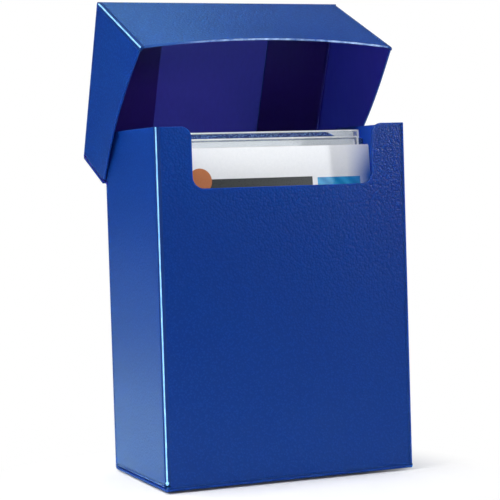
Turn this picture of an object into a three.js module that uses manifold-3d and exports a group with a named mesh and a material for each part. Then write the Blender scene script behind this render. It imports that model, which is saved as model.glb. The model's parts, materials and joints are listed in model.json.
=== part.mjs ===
// A flip-lid box for trading cards, folded from creased polypropylene sheet, with its cards.
// Millimetres, +Z up, the front of the box towards -Y, the origin under the middle of the base.
import * as THREE from 'three';
import { mergeVertices } from 'three/addons/utils/BufferGeometryUtils.js';
import Module from 'manifold-3d';

const wasm = await Module();
wasm.setup();

// The sheet and its folds
const sheet = 0.6;
const foldRadius = 1.2;
const foldSteps = 6;
const seam = 0.05;
const layerGap = 0.1;

// Cards, sleeves and the divider
const cardWidth = 63.5;
const cardHeight = 88.9;
const cardStock = 0.38;
const cardGap = 0.15;
const cardLean = 5.6;
const footGap = 0.1;
const frontCardInset = 2.0;
const frontCardSideGap = 2.6;
const frontDeckCards = 18;
const film = 0.12;
const pocketGap = 0.1;
const secondSleeveMargin = 2.5;
const secondSleeveHeight = 91.5;
const secondSleeveFoot = 1.6;
const rearSleeveMargin = 3.5;
const rearSleeveHeight = 93.3;
const rearSleeveFoot = 3.8;
const sleeveSideGap = 0.9;
const dividerSheet = 0.5;
const dividerMargin = 2.5;
const dividerHeight = 91.0;
const dividerTabHeight = 1.9;
const dividerTabWidth = 44;
const dividerTabSlant = 3.6;
const rearDeckClear = 0.8;

// The body
const sideRoom = 2.1;
const rimRoom = 1.15;
const innerDepth = 43.2;
const edgeInset = 0.3;
const foldFootGap = 0.6;
const flapInset = 1.0;
const bottomFlapReach = 20;
const tabReach = 10;
const tabInset = 1.5;
const cutoutWidth = 52.2;
const cutoutDepth = 16.3;
const cutoutRimRadius = 3.0;
const cutoutFloorRadius = 3.2;

// The living hinge
const rimOverHinge = 14.4;
const hingeBead = 0.25;
const hingeTaper = 1.0;
const hingeTipGap = 0.4;
const hingeTip = 0.2;
const beadSides = 12;
const openAngle = 67;

// The lid
const lidHeadroom = 4.7;
const lidFrontHeight = 40.0;
const lidSideClear = 0.25;
const lidSwingClear = 0.25;
const lidFlapReach = 20.5;
const frontBow = 2.3;
const sideBow = 1.2;
const bowSteps = 12;
const bowRows = 6;

// Sizes that follow from those above
const lean = THREE.MathUtils.degToRad(cardLean);
const innerWidth = cardWidth + rearSleeveMargin + 2 * sideRoom;
const bodyWidth = innerWidth + 2 * sheet;
const bodyDepth = innerDepth + 2 * sheet;
const flapBase = sheet + layerGap;
const floorTop = flapBase + sheet;
const bodyHeight = floorTop + footGap + rearSleeveHeight * Math.cos(lean) + rimRoom;
const halfWidth = bodyWidth / 2;
const front = -bodyDepth / 2;
const back = bodyDepth / 2;
const tabBack = back - sheet - layerGap;
const foldEnd = foldRadius + seam;

const hingeHeight = bodyHeight - rimOverHinge;
const hingeY = back - sheet / 2;
const lidTop = rimOverHinge + lidHeadroom + 2 * sheet + layerGap;
const lidMouth = lidTop - lidFrontHeight;
const lidReach = Math.hypot(bodyDepth - sheet / 2, rimOverHinge) + lidSwingClear;
const lidFront = -(lidReach + sheet);
const lidBack = sheet / 2;
const lidHalf = halfWidth + lidSideClear + sheet;
const lidFlapTop = lidTop - sheet - layerGap;
const lidTabBack = lidBack - sheet - layerGap;

const sides = [
  { side: 'left', sign: -1 },
  { side: 'right', sign: 1 },
];

// Finishes
function polypropylene() {
  return new THREE.MeshStandardMaterial({ color: 0x1d3f94, roughness: 0.42, metalness: 0 });
}

function cardFace() {
  return new THREE.MeshStandardMaterial({ color: 0xf1f2f4, roughness: 0.5, metalness: 0 });
}

function clearFilm() {
  return new THREE.MeshStandardMaterial({ color: 0xdfe9f2, roughness: 0.15, metalness: 0 });
}

function addPiece(parent, name, geometry, material) {
  const mesh = new THREE.Mesh(geometry, material);
  mesh.name = name;
  parent.add(mesh);
}

// Shapes: a slab between two corners, and outlines swept along X, Y or Z
function slab(x0, x1, y0, y1, z0, z1) {
  const low = new THREE.Vector3(Math.min(x0, x1), y0, z0);
  const high = new THREE.Vector3(Math.max(x0, x1), y1, z1);
  const size = high.clone().sub(low);
  const middle = low.clone().add(high).multiplyScalar(0.5);
  const box = new THREE.BoxGeometry(size.x, size.y, size.z);
  return box.translate(middle.x, middle.y, middle.z);
}

function sweep(shape, length) {
  return new THREE.ExtrudeGeometry(shape, {
    depth: length,
    bevelEnabled: false,
    curveSegments: foldSteps,
  });
}

const xAxis = new THREE.Vector3(1, 0, 0);
const yAxis = new THREE.Vector3(0, 1, 0);
const zAxis = new THREE.Vector3(0, 0, 1);

function alongX(shapeYZ, x0, x1) {
  const turn = new THREE.Matrix4().makeBasis(yAxis, zAxis, xAxis);
  return sweep(shapeYZ, Math.abs(x1 - x0)).applyMatrix4(turn).translate(Math.min(x0, x1), 0, 0);
}

function alongY(shapeXZ, y0, y1) {
  const turn = new THREE.Matrix4().makeBasis(xAxis, zAxis, yAxis.clone().negate());
  return sweep(shapeXZ, y1 - y0).applyMatrix4(turn).translate(0, y1, 0);
}

function alongZ(shapeXY, z0, z1) {
  return sweep(shapeXY, z1 - z0).translate(0, 0, z0);
}

// A fold is a quarter ring of the sheet, in the quadrant given by the two signs
function foldOutline(centreU, centreV, signU, signV) {
  const quadrant = signU > 0 ? (signV > 0 ? 0 : 3) : (signV > 0 ? 1 : 2);
  const start = quadrant * Math.PI / 2;
  const end = start + Math.PI / 2;
  const shape = new THREE.Shape();
  shape.absarc(centreU, centreV, foldRadius, start, end, false);
  shape.absarc(centreU, centreV, foldRadius - sheet, end, start, true);
  shape.closePath();
  return shape;
}

function polygon(points) {
  return new THREE.Shape(points.map(([u, v]) => new THREE.Vector2(u, v)));
}

// Solids for a cut
function toSolid(geometry) {
  const bare = geometry.clone();
  bare.deleteAttribute('normal');
  bare.deleteAttribute('uv');
  const merged = mergeVertices(bare, 1e-4);
  return new wasm.Manifold(new wasm.Mesh({
    numProp: 3,
    vertProperties: new Float32Array(merged.attributes.position.array),
    triVerts: new Uint32Array(merged.index.array),
  }));
}

function cutOut(geometry, tool) {
  const mesh = toSolid(geometry).subtract(toSolid(tool)).getMesh();
  const result = new THREE.BufferGeometry();
  result.setAttribute('position', new THREE.BufferAttribute(mesh.vertProperties, 3));
  result.setIndex(new THREE.BufferAttribute(mesh.triVerts, 1));
  return result;
}

// Body: the front panel, with a thumb cutout in its upper edge
function frontPanelOutline() {
  const half = halfWidth - foldRadius - seam;
  const foot = foldRadius + seam;
  const cut = cutoutWidth / 2;
  const floor = bodyHeight - cutoutDepth;
  const rim = cutoutRimRadius;
  const base = cutoutFloorRadius;
  const right = Math.PI / 2;
  const shape = new THREE.Shape();
  shape.moveTo(-half, foot);
  shape.lineTo(half, foot);
  shape.lineTo(half, bodyHeight);
  shape.absarc(cut + rim, bodyHeight - rim, rim, right, 2 * right, false);
  shape.absarc(cut - base, floor + base, base, 0, -right, true);
  shape.absarc(-cut + base, floor + base, base, -right, -2 * right, true);
  shape.absarc(-cut - rim, bodyHeight - rim, rim, 0, right, false);
  shape.lineTo(-half, bodyHeight);
  shape.closePath();
  return shape;
}

// A back panel thins towards the hinge: reach runs from the hinge to its far edge, up or down
function hingedPanelOutline(offsetY, offsetZ, reach, direction) {
  const half = sheet / 2;
  return polygon([
    [offsetY - half, offsetZ + direction * reach],
    [offsetY - half, offsetZ + direction * hingeTaper],
    [offsetY - hingeTip / 2, offsetZ + direction * hingeTipGap],
    [offsetY + hingeTip / 2, offsetZ + direction * hingeTipGap],
    [offsetY + half, offsetZ + direction * hingeTaper],
    [offsetY + half, offsetZ + direction * reach],
  ]);
}

// The strip of panels: front, bottom and back, with the folds between them.
// The wings: each side panel is folded from the front, and ends in a flap and a tab.
function buildBody() {
  const body = new THREE.Group();
  const stripHalf = halfWidth - edgeInset;
  const panelFront = front + foldEnd;
  const panelBack = back - foldEnd;

  addPiece(body, 'body_front_panel', alongY(frontPanelOutline(), front, front + sheet), polypropylene());
  const bottom = slab(-stripHalf, stripHalf, panelFront, panelBack, 0, sheet);
  addPiece(body, 'body_bottom_panel', bottom, polypropylene());
  const backOutline = hingedPanelOutline(hingeY, hingeHeight, hingeHeight - foldEnd, -1);
  addPiece(body, 'body_back_panel', alongX(backOutline, -stripHalf, stripHalf), polypropylene());
  const frontFold = foldOutline(front + foldRadius, foldRadius, -1, -1);
  addPiece(body, 'body_bottom_front_fold', alongX(frontFold, -stripHalf, stripHalf), polypropylene());
  const backFold = foldOutline(back - foldRadius, foldRadius, 1, -1);
  addPiece(body, 'body_bottom_back_fold', alongX(backFold, -stripHalf, stripHalf), polypropylene());

  for (const { side, sign } of sides) {
    const face = sign * halfWidth;
    const inside = face - sign * sheet;
    const foldX = face - sign * foldRadius;
    const foldEdge = face - sign * foldEnd;
    const sideBack = tabBack - foldEnd;
    const sideFoot = flapBase + foldEnd;
    const cornerFoot = foldRadius + foldFootGap;

    const panel = slab(inside, face, panelFront, sideBack, sideFoot, bodyHeight);
    addPiece(body, `body_${side}_panel`, panel, polypropylene());
    const cornerFold = foldOutline(foldX, front + foldRadius, sign, -1);
    addPiece(body, `body_front_${side}_fold`, alongZ(cornerFold, cornerFoot, bodyHeight), polypropylene());

    const flapFront = panelFront + flapInset;
    const flapFold = foldOutline(foldX, flapBase + foldRadius, sign, -1);
    addPiece(body, `body_${side}_flap_fold`, alongY(flapFold, flapFront, sideBack), polypropylene());
    const flapTip = face - sign * bottomFlapReach;
    const flap = slab(flapTip, foldEdge, flapFront, sideBack, flapBase, floorTop);
    addPiece(body, `body_${side}_bottom_flap`, flap, polypropylene());

    const tabFoot = sideFoot + tabInset;
    const tabTop = hingeHeight - hingeTaper - tabInset;
    const tabFold = foldOutline(foldX, tabBack - foldRadius, sign, 1);
    addPiece(body, `body_${side}_tab_fold`, alongZ(tabFold, tabFoot, tabTop), polypropylene());
    const tab = slab(face - sign * tabReach, foldEdge, tabBack - sheet, tabBack, tabFoot, tabTop);
    addPiece(body, `body_${side}_back_tab`, tab, polypropylene());
  }

  const bead = new THREE.CylinderGeometry(hingeBead, hingeBead, 2 * stripHalf, beadSides);
  bead.rotateZ(Math.PI / 2).translate(0, hingeY, hingeHeight);
  addPiece(body, 'lid_hinge_web', bead, polypropylene());
  return body;
}

// Lid: the lower edge of its sides runs straight from the hinge to the mouth of the front panel
function mouthHeight(y) {
  return lidMouth * y / lidFront;
}

// Lid: the front panel's free edge bows outwards between its two folded corners
function bowedFront() {
  const half = lidHalf - foldEnd;
  const top = lidTop - foldEnd;
  const height = top - lidMouth;
  const panel = new THREE.BoxGeometry(2 * half, sheet, height, bowSteps, 1, bowRows);
  panel.translate(0, lidFront + sheet / 2, lidMouth + height / 2);
  const points = panel.attributes.position;
  for (let i = 0; i < points.count; i += 1) {
    const across = points.getX(i) / half;
    const down = (top - points.getZ(i)) / height;
    points.setY(i, points.getY(i) - frontBow * (1 - across * across) * down * down);
  }
  return panel;
}

// Lid: a side panel slants down to the mouth, where its free edge bows outwards
function bowedSide(sign) {
  const near = lidFront + foldEnd;
  const far = lidTabBack - foldEnd;
  const length = far - near;
  const top = lidFlapTop - foldEnd;
  const middle = sign * (lidHalf - sheet / 2);
  const panel = new THREE.BoxGeometry(sheet, length, 1, 1, bowSteps, bowRows);
  const points = panel.attributes.position;
  for (let i = 0; i < points.count; i += 1) {
    const along = points.getY(i) / length + 0.5;
    const up = points.getZ(i) + 0.5;
    const y = near + along * length;
    const bow = sideBow * Math.sin(Math.PI * along) * (1 - up) * (1 - up);
    const z = THREE.MathUtils.lerp(mouthHeight(y), top, up);
    points.setXYZ(i, middle + points.getX(i) + sign * bow, y, z);
  }
  return panel;
}

// The lid is drawn closed, round the hinge, and turned open about it
function buildLid() {
  const lid = new THREE.Group();
  lid.position.set(0, hingeY, hingeHeight);
  lid.rotation.x = -THREE.MathUtils.degToRad(openAngle);
  const stripHalf = lidHalf - edgeInset;
  const panelFront = lidFront + foldEnd;
  const panelBack = lidBack - foldEnd;
  const underFold = lidTop - foldEnd;

  addPiece(lid, 'lid_front_panel', bowedFront(), polypropylene());
  const top = slab(-stripHalf, stripHalf, panelFront, panelBack, lidTop - sheet, lidTop);
  addPiece(lid, 'lid_top_panel', top, polypropylene());
  const backOutline = hingedPanelOutline(0, 0, underFold, 1);
  addPiece(lid, 'lid_back_panel', alongX(backOutline, -stripHalf, stripHalf), polypropylene());
  const frontFold = foldOutline(lidFront + foldRadius, lidTop - foldRadius, -1, 1);
  addPiece(lid, 'lid_top_front_fold', alongX(frontFold, -stripHalf, stripHalf), polypropylene());
  const backFold = foldOutline(lidBack - foldRadius, lidTop - foldRadius, 1, 1);
  addPiece(lid, 'lid_top_back_fold', alongX(backFold, -stripHalf, stripHalf), polypropylene());

  for (const { side, sign } of sides) {
    const face = sign * lidHalf;
    const foldX = face - sign * foldRadius;
    const foldEdge = face - sign * foldEnd;
    const sideBack = lidTabBack - foldEnd;

    addPiece(lid, `lid_${side}_panel`, bowedSide(sign), polypropylene());
    const cornerFold = foldOutline(foldX, lidFront + foldRadius, sign, -1);
    addPiece(lid, `lid_front_${side}_fold`, alongZ(cornerFold, lidMouth, underFold), polypropylene());

    const flapFront = panelFront + flapInset;
    const flapFold = foldOutline(foldX, lidFlapTop - foldRadius, sign, 1);
    addPiece(lid, `lid_${side}_flap_fold`, alongY(flapFold, flapFront, sideBack), polypropylene());
    const flapTip = face - sign * lidFlapReach;
    const flap = slab(flapTip, foldEdge, flapFront, sideBack, lidFlapTop - sheet, lidFlapTop);
    addPiece(lid, `lid_${side}_top_flap`, flap, polypropylene());

    const tabTop = lidFlapTop - foldEnd - tabInset;
    const tabFold = foldOutline(foldX, lidTabBack - foldRadius, sign, 1);
    addPiece(lid, `lid_${side}_tab_fold`, alongZ(tabFold, tabInset, tabTop), polypropylene());
    const tab = slab(face - sign * tabReach, foldEdge, lidTabBack - sheet, lidTabBack, tabInset, tabTop);
    addPiece(lid, `lid_${side}_back_tab`, tab, polypropylene());
  }
  return lid;
}

// Contents: each leaf stands on the floor of the box and leans back by the same angle
function leanBack(geometry) {
  const shear = Math.tan(lean);
  const matrix = new THREE.Matrix4().set(1, 0, 0, 0, 0, 1, shear, 0, 0, 0, 1, 0, 0, 0, 0, 1);
  return geometry.applyMatrix4(matrix).translate(0, 0, floorTop + footGap);
}

// An upright leaf, centred on x, whose face stands at foot and whose lower edge is raised by rise
function leaf(x, width, foot, thickness, height, rise) {
  const bottom = rise * Math.cos(lean);
  const top = (rise + height) * Math.cos(lean);
  return slab(x - width / 2, x + width / 2, foot, foot + thickness, bottom, top);
}

function sleeveSize(margin) {
  return { width: cardWidth + margin, thickness: cardStock + 2 * (film + pocketGap) };
}

// A clear sleeve open at its top, welded round its sides and foot, and the card in it
function addSleevedCard(parent, name, foot, margin, height, weld) {
  const { width, thickness } = sleeveSize(margin);
  const x = sleeveSideGap - (innerWidth - width) / 2;
  const outside = leaf(x, width, foot, thickness, height, 0);
  const pocketWidth = cardWidth + margin / 2;
  const pocketDepth = thickness - 2 * film;
  const pocket = leaf(x, pocketWidth, foot + film, pocketDepth, height, weld);
  addPiece(parent, `${name}_sleeve`, leanBack(cutOut(outside, pocket)), clearFilm());
  const card = leaf(x, cardWidth, foot + film + pocketGap, cardStock, cardHeight, weld + pocketGap);
  addPiece(parent, `${name}_card`, leanBack(card), cardFace());
  return thickness;
}

function dividerOutline() {
  const half = (cardWidth + dividerMargin) / 2;
  const shoulder = dividerHeight * Math.cos(lean);
  const top = (dividerHeight + dividerTabHeight) * Math.cos(lean);
  const tab = dividerTabWidth / 2;
  return polygon([
    [-half, 0],
    [half, 0],
    [half, shoulder],
    [tab + dividerTabSlant, shoulder],
    [tab, top],
    [-tab, top],
    [-tab - dividerTabSlant, shoulder],
    [-half, shoulder],
  ]);
}

function buildContents() {
  const contents = new THREE.Group();
  let foot = front + sheet + frontCardInset;

  const frontX = frontCardSideGap - (innerWidth - cardWidth) / 2;
  const frontCard = leaf(frontX, cardWidth, foot, cardStock, cardHeight, 0);
  addPiece(contents, 'front_card', leanBack(frontCard), cardFace());
  foot += cardStock + cardGap;

  const frontDeckDepth = frontDeckCards * cardStock;
  const frontDeck = leaf(frontX, cardWidth, foot, frontDeckDepth, cardHeight, 0);
  addPiece(contents, 'front_deck', leanBack(frontDeck), cardFace());
  foot += frontDeckDepth + cardGap;

  foot += addSleevedCard(contents, 'second', foot, secondSleeveMargin, secondSleeveHeight, secondSleeveFoot);
  foot += cardGap;

  const divider = alongY(dividerOutline(), foot, foot + dividerSheet);
  addPiece(contents, 'card_divider', leanBack(divider), polypropylene());
  foot += dividerSheet + cardGap;

  foot += addSleevedCard(contents, 'rear', foot, rearSleeveMargin, rearSleeveHeight, rearSleeveFoot);
  foot += cardGap;

  const deckBack = tabBack - sheet - rearDeckClear - cardHeight * Math.sin(lean);
  const rearDeckDepth = deckBack - foot;
  const rearDeck = leaf(0, cardWidth, foot, rearDeckDepth, cardHeight, 0);
  addPiece(contents, 'rear_deck', leanBack(rearDeck), cardFace());
  return contents;
}

const cardBox = new THREE.Group();
cardBox.add(buildBody());
cardBox.add(buildLid());
cardBox.add(buildContents());

export default cardBox;
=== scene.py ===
# A trading card box: one folded polypropylene sheet standing open, with bare and sleeved cards in it
import json
import math
import random
import bmesh
import bpy
from mathutils import Matrix, Vector


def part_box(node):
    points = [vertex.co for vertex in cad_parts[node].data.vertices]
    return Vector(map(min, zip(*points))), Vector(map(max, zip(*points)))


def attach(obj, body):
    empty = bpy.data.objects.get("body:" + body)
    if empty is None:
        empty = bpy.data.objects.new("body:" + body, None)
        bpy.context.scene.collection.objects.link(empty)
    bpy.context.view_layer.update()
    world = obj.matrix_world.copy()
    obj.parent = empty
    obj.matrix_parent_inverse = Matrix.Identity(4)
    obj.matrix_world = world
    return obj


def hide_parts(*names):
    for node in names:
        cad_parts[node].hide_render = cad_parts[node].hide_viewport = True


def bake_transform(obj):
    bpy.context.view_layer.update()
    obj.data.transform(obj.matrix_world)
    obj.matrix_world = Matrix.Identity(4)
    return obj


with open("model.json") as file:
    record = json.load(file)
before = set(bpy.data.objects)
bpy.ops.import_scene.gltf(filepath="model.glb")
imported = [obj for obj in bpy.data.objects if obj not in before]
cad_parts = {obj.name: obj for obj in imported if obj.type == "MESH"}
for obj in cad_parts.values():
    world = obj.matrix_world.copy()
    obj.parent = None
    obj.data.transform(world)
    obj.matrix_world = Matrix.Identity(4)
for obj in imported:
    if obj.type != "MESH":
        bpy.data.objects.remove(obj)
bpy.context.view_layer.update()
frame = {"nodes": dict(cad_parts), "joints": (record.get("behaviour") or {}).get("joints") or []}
scene = bpy.context.scene
mm = 0.001
right, left = Vector((1, 0, 0)), Vector((-1, 0, 0))
back, front = Vector((0, 1, 0)), Vector((0, -1, 0))
up, down = Vector((0, 0, 1)), Vector((0, 0, -1))
print("frame loaded:", len(frame["nodes"]), "nodes")

# Where things are drawn: the body as it stands, the lid shut round its hinge, the leaves upright
joints = {joint["name"]: joint for joint in frame["joints"]}
hingeLow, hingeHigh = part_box("lid_hinge_web")
hingeLine = (hingeLow + hingeHigh) / 2
openAngle = math.radians(-joints["lid_hinge"]["range_deg"][0])
liftAxis = joints["front_card_lift"]["axis"]
lean = liftAxis[1] / liftAxis[2]
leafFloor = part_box("front_card")[0].z

standing = Matrix.Identity(4)
opened = Matrix.Translation(hingeLine) @ Matrix.Rotation(-openAngle, 4, "X")
leaning = Matrix.Identity(4)
leaning[1][2] = lean
leaning[1][3] = -lean * leafFloor


def nodeBox(node, place):  # a solid's lowest and highest corner before it was put in its place
    undo = place.inverted()
    points = [undo @ vertex.co for vertex in frame["nodes"][node].data.vertices]
    low = Vector([min(point[i] for point in points) for i in range(3)])
    high = Vector([max(point[i] for point in points) for i in range(3)])
    return low, high


# Finishes

def srgb(hexColour):  # sRGB hex to linear
    channels = [int(hexColour[i:i + 2], 16) / 255 for i in (0, 2, 4)]
    linear = [c / 12.92 if c <= 0.04045 else ((c + 0.055) / 1.055) ** 2.4 for c in channels]
    return (*linear, 1.0)


def perMetre(size):  # pattern scale for a size in millimetres
    return 1 / (size * mm)


def addNode(tree, kind, sockets=None, **settings):
    node = tree.nodes.new(kind)
    for key, value in settings.items():
        setattr(node, key, value)
    for socket, value in (sockets or {}).items():
        if isinstance(value, bpy.types.NodeSocket):
            tree.links.new(value, node.inputs[socket])
        else:
            node.inputs[socket].default_value = value
    return node


def startFinish(name):
    finish = bpy.data.materials.new(name)
    finish.use_nodes = True
    tree = finish.node_tree
    tree.nodes.clear()
    coords = addNode(tree, "ShaderNodeTexCoord").outputs["Object"]
    return finish, tree, coords


def endFinish(tree, sockets):
    shader = addNode(tree, "ShaderNodeBsdfPrincipled", sockets)
    addNode(tree, "ShaderNodeOutputMaterial", {"Surface": shader.outputs["BSDF"]})


polypropyleneIor = 1.49
noiseLow, noiseHigh = 0.3, 0.7  # most of a noise's values lie between these

# Polypropylene sheet, extruded over a sand-grained roll: a satin blue with a fine sparkle.
# The real grain is about 0.2 mm, drawn coarser so that it shows.
outsideLook = {"colour": "0a2f7b", "crest": "0e3583", "grain": 0.60, "depth": 0.036, "bump": 1.0,
               "crestFrom": (0.50, 0.20), "rough": (0.17, 0.26), "cloud": 38.0, "cloudColour": "092c76",
               "shine": 0.14, "glow": (1.7, 2.3, 2.6)}
# On the lid the crests of its grain are a little paler, a painted sparkle standing in for the glints in
# its sheen, and its grain is deeper
lidSparkleLook = {**outsideLook, "crest": "103b8b", "depth": 0.055}
# The sheet's other side ran over a polished roll: smooth, deep indigo, faint streaks along it
insideLook = {"colour": "2f2080", "streakColour": "2b1a72", "streak": 0.9, "stretch": 0.06,
              "rough": (0.30, 0.40), "scuff": 6.0, "depth": 0.01, "bump": 0.3, "shine": 0.16,
              "glow": (1.8, 2.4, 2.6)}
# In the body a clearer blue: a painted glow, standing in for the blue light that comes through the body's
# walls
bodyInsideGlowLook = {**insideLook, "colour": "2a4cb0", "streakColour": "26459c"}
# The die-cut edge: paler where the blade tore the sheet.
# Between which places along X, in mm, the wear sets in; on the lid's front edge, the painted highlight.
edgeLook = {"colour": "0a2d72", "tornAndGlint": "143e86", "tear": 0.5, "tornAndGlintFrom": (0.0, 1.0),
            "wearAndHighlightFrom": (-60, -50), "depth": 0.02, "bump": 0.4, "rough": 0.45, "shine": 0.12}
# The lid's free front edge: a painted highlight, pale from its left third on where the light falls on it,
# with painted glints
edgeHighlightLook = {"colour": "1c4c9c", "tornAndGlint": "aac4ee", "tear": 3.2, "tornAndGlintFrom": (0.36, 0.62),
            "wearAndHighlightFrom": (-28, -8), "depth": 0.03, "bump": 0.4, "rough": 0.30, "shine": 0.4}
# A crease: the grain is pressed flat and the plastic whitens where it is stretched; at the left corners
# the pale colour is partly this whitening and partly a painted highlight
creaseWhiteAndHighlightLook = {"colour": "4f93d8", "white": "9fd6f6", "patch": 2.2, "rough": (0.18, 0.30),
              "depth": 0.012, "bump": 0.3, "shine": 0.5}
# Beside the grooves, and in the wedge at the foot of a side, a painted shade: smooth, dull navy
grooveShadeLook = {"colour": "07265f", "white": "0a2f70", "patch": 2.2, "rough": (0.35, 0.45),
               "depth": 0.01, "bump": 0.3, "shine": 0.1}
# The divider is a duller sheet with a finer grain: blue with pale crests
dividerLook = {"colour": "103884", "crest": "88b4f2", "grain": 0.32, "depth": 0.04, "bump": 0.8,
               "crestFrom": (0.42, 0.24), "rough": (0.38, 0.55), "cloud": 25.0, "cloudColour": "12295c",
               "shine": 0.4, "glow": (0.1, 0.15, 0.4)}


def grainedPolypropylene(name, look):
    finish, tree, coords = startFinish(name)
    grain = addNode(tree, "ShaderNodeTexVoronoi", {"Vector": coords, "Scale": perMetre(look["grain"])})
    away = grain.outputs["Distance"]
    crest = addNode(tree, "ShaderNodeMapRange", {
        "Value": away, "From Min": look["crestFrom"][0], "From Max": look["crestFrom"][1]})
    # Each grain is a low dome
    dome = addNode(tree, "ShaderNodeMath", {0: away, 1: away}, operation="MULTIPLY")
    cloud = addNode(tree, "ShaderNodeTexNoise", {
        "Vector": coords, "Scale": perMetre(look["cloud"]), "Detail": 3.0})
    base = addNode(tree, "ShaderNodeMix", {
        0: cloud.outputs["Fac"], 6: srgb(look["cloudColour"]), 7: srgb(look["colour"])}, data_type="RGBA")
    colour = addNode(tree, "ShaderNodeMix", {
        0: crest.outputs["Result"], 6: base.outputs[2], 7: srgb(look["crest"])}, data_type="RGBA")
    rough = addNode(tree, "ShaderNodeMapRange", {
        "Value": crest.outputs["Result"], "To Min": look["rough"][1], "To Max": look["rough"][0]})
    bump = addNode(tree, "ShaderNodeBump", {
        "Height": dome.outputs[0], "Strength": look["bump"], "Distance": look["depth"] * mm}, invert=True)
    endFinish(tree, {"Base Color": colour.outputs[2], "Roughness": rough.outputs["Result"],
                     "IOR": polypropyleneIor, "Specular IOR Level": look["shine"],
                     "Normal": bump.outputs["Normal"],
                     "Subsurface Weight": 1.0, "Subsurface Radius": look["glow"], "Subsurface Scale": mm})
    return finish


def smoothPolypropylene(name, look):
    finish, tree, coords = startFinish(name)
    along = addNode(tree, "ShaderNodeMapping", {"Vector": coords, "Scale": (1, 1, look["stretch"])})
    streak = addNode(tree, "ShaderNodeTexNoise", {
        "Vector": along.outputs["Vector"], "Scale": perMetre(look["streak"]), "Detail": 3.0})
    scuff = addNode(tree, "ShaderNodeTexNoise", {
        "Vector": coords, "Scale": perMetre(look["scuff"]), "Detail": 5.0, "Roughness": 0.65})
    colour = addNode(tree, "ShaderNodeMix", {
        0: streak.outputs["Fac"],
        6: srgb(look["streakColour"]), 7: srgb(look["colour"])}, data_type="RGBA")
    rough = addNode(tree, "ShaderNodeMapRange", {
        "Value": scuff.outputs["Fac"], "From Min": noiseLow, "From Max": noiseHigh,
        "To Min": look["rough"][0], "To Max": look["rough"][1]})
    bump = addNode(tree, "ShaderNodeBump", {
        "Height": streak.outputs["Fac"], "Strength": look["bump"], "Distance": look["depth"] * mm})
    endFinish(tree, {"Base Color": colour.outputs[2], "Roughness": rough.outputs["Result"],
                     "IOR": polypropyleneIor, "Specular IOR Level": look["shine"],
                     "Normal": bump.outputs["Normal"],
                     "Subsurface Weight": 1.0, "Subsurface Radius": look["glow"], "Subsurface Scale": mm})
    return finish


def cutPolypropylene(name, look):
    finish, tree, coords = startFinish(name)
    tear = addNode(tree, "ShaderNodeTexNoise", {
        "Vector": coords, "Scale": perMetre(look["tear"]), "Detail": 4.0, "Roughness": 0.6})
    share = addNode(tree, "ShaderNodeMapRange", {
        "Value": tear.outputs["Fac"], "From Min": look["tornAndGlintFrom"][0], "From Max": look["tornAndGlintFrom"][1]})
    place = addNode(tree, "ShaderNodeSeparateXYZ", {0: coords})
    wearAndHighlightFrom = addNode(tree, "ShaderNodeMapRange", {
        "Value": place.outputs["X"],
        "From Min": look["wearAndHighlightFrom"][0] * mm, "From Max": look["wearAndHighlightFrom"][1] * mm})
    # the pale patches: torn sheet on a die-cut edge, painted glints on the lid's front edge
    tornAndGlint = addNode(tree, "ShaderNodeMath", {
        0: share.outputs["Result"], 1: wearAndHighlightFrom.outputs["Result"]}, operation="MULTIPLY")
    colour = addNode(tree, "ShaderNodeMix", {
        0: tornAndGlint.outputs[0], 6: srgb(look["colour"]), 7: srgb(look["tornAndGlint"])}, data_type="RGBA")
    bump = addNode(tree, "ShaderNodeBump", {
        "Height": tear.outputs["Fac"], "Strength": look["bump"], "Distance": look["depth"] * mm})
    endFinish(tree, {"Base Color": colour.outputs[2], "Roughness": look["rough"], "IOR": polypropyleneIor,
                     "Specular IOR Level": look["shine"], "Normal": bump.outputs["Normal"]})
    return finish


def creasedPolypropylene(name, look):
    finish, tree, coords = startFinish(name)
    patch = addNode(tree, "ShaderNodeTexNoise", {
        "Vector": coords, "Scale": perMetre(look["patch"]), "Detail": 3.0})
    colour = addNode(tree, "ShaderNodeMix", {
        0: patch.outputs["Fac"], 6: srgb(look["colour"]), 7: srgb(look["white"])}, data_type="RGBA")
    rough = addNode(tree, "ShaderNodeMapRange", {
        "Value": patch.outputs["Fac"], "From Min": noiseLow, "From Max": noiseHigh,
        "To Min": look["rough"][0], "To Max": look["rough"][1]})
    bump = addNode(tree, "ShaderNodeBump", {
        "Height": patch.outputs["Fac"], "Strength": look["bump"], "Distance": look["depth"] * mm})
    endFinish(tree, {"Base Color": colour.outputs[2], "Roughness": rough.outputs["Result"],
                     "IOR": polypropyleneIor, "Specular IOR Level": look["shine"],
                     "Normal": bump.outputs["Normal"]})
    return finish


# Coated card: clay-coated board under a gloss varnish, white with a soft fibre tooth
stockLook = {"colour": "f1f3f5", "fibre": "e8ebee", "fibreSize": 0.8, "depth": 0.006, "bump": 0.3,
             "rough": (0.28, 0.38)}
# The cut edge of the board: warm grey fibre
coreLook = {"colour": "dcd9d2", "fibre": "c3bfb6", "fibreSize": 0.35, "depth": 0.02, "bump": 0.4,
            "rough": 0.75}
# Cast polypropylene film: clear and glossy with a trace of haze
filmLook = {"colour": "e6f2fc", "haze": 14.0, "rough": (0.06, 0.16), "alpha": 0.17, "depth": 0.01,
            "bump": 0.1}
# Its cut lip and its welds catch the light and look white
filmEdgeLook = {"colour": "fafdff", "haze": 3.0, "rough": (0.10, 0.20), "alpha": 0.85, "depth": 0.01,
                "bump": 0.1}


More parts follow.
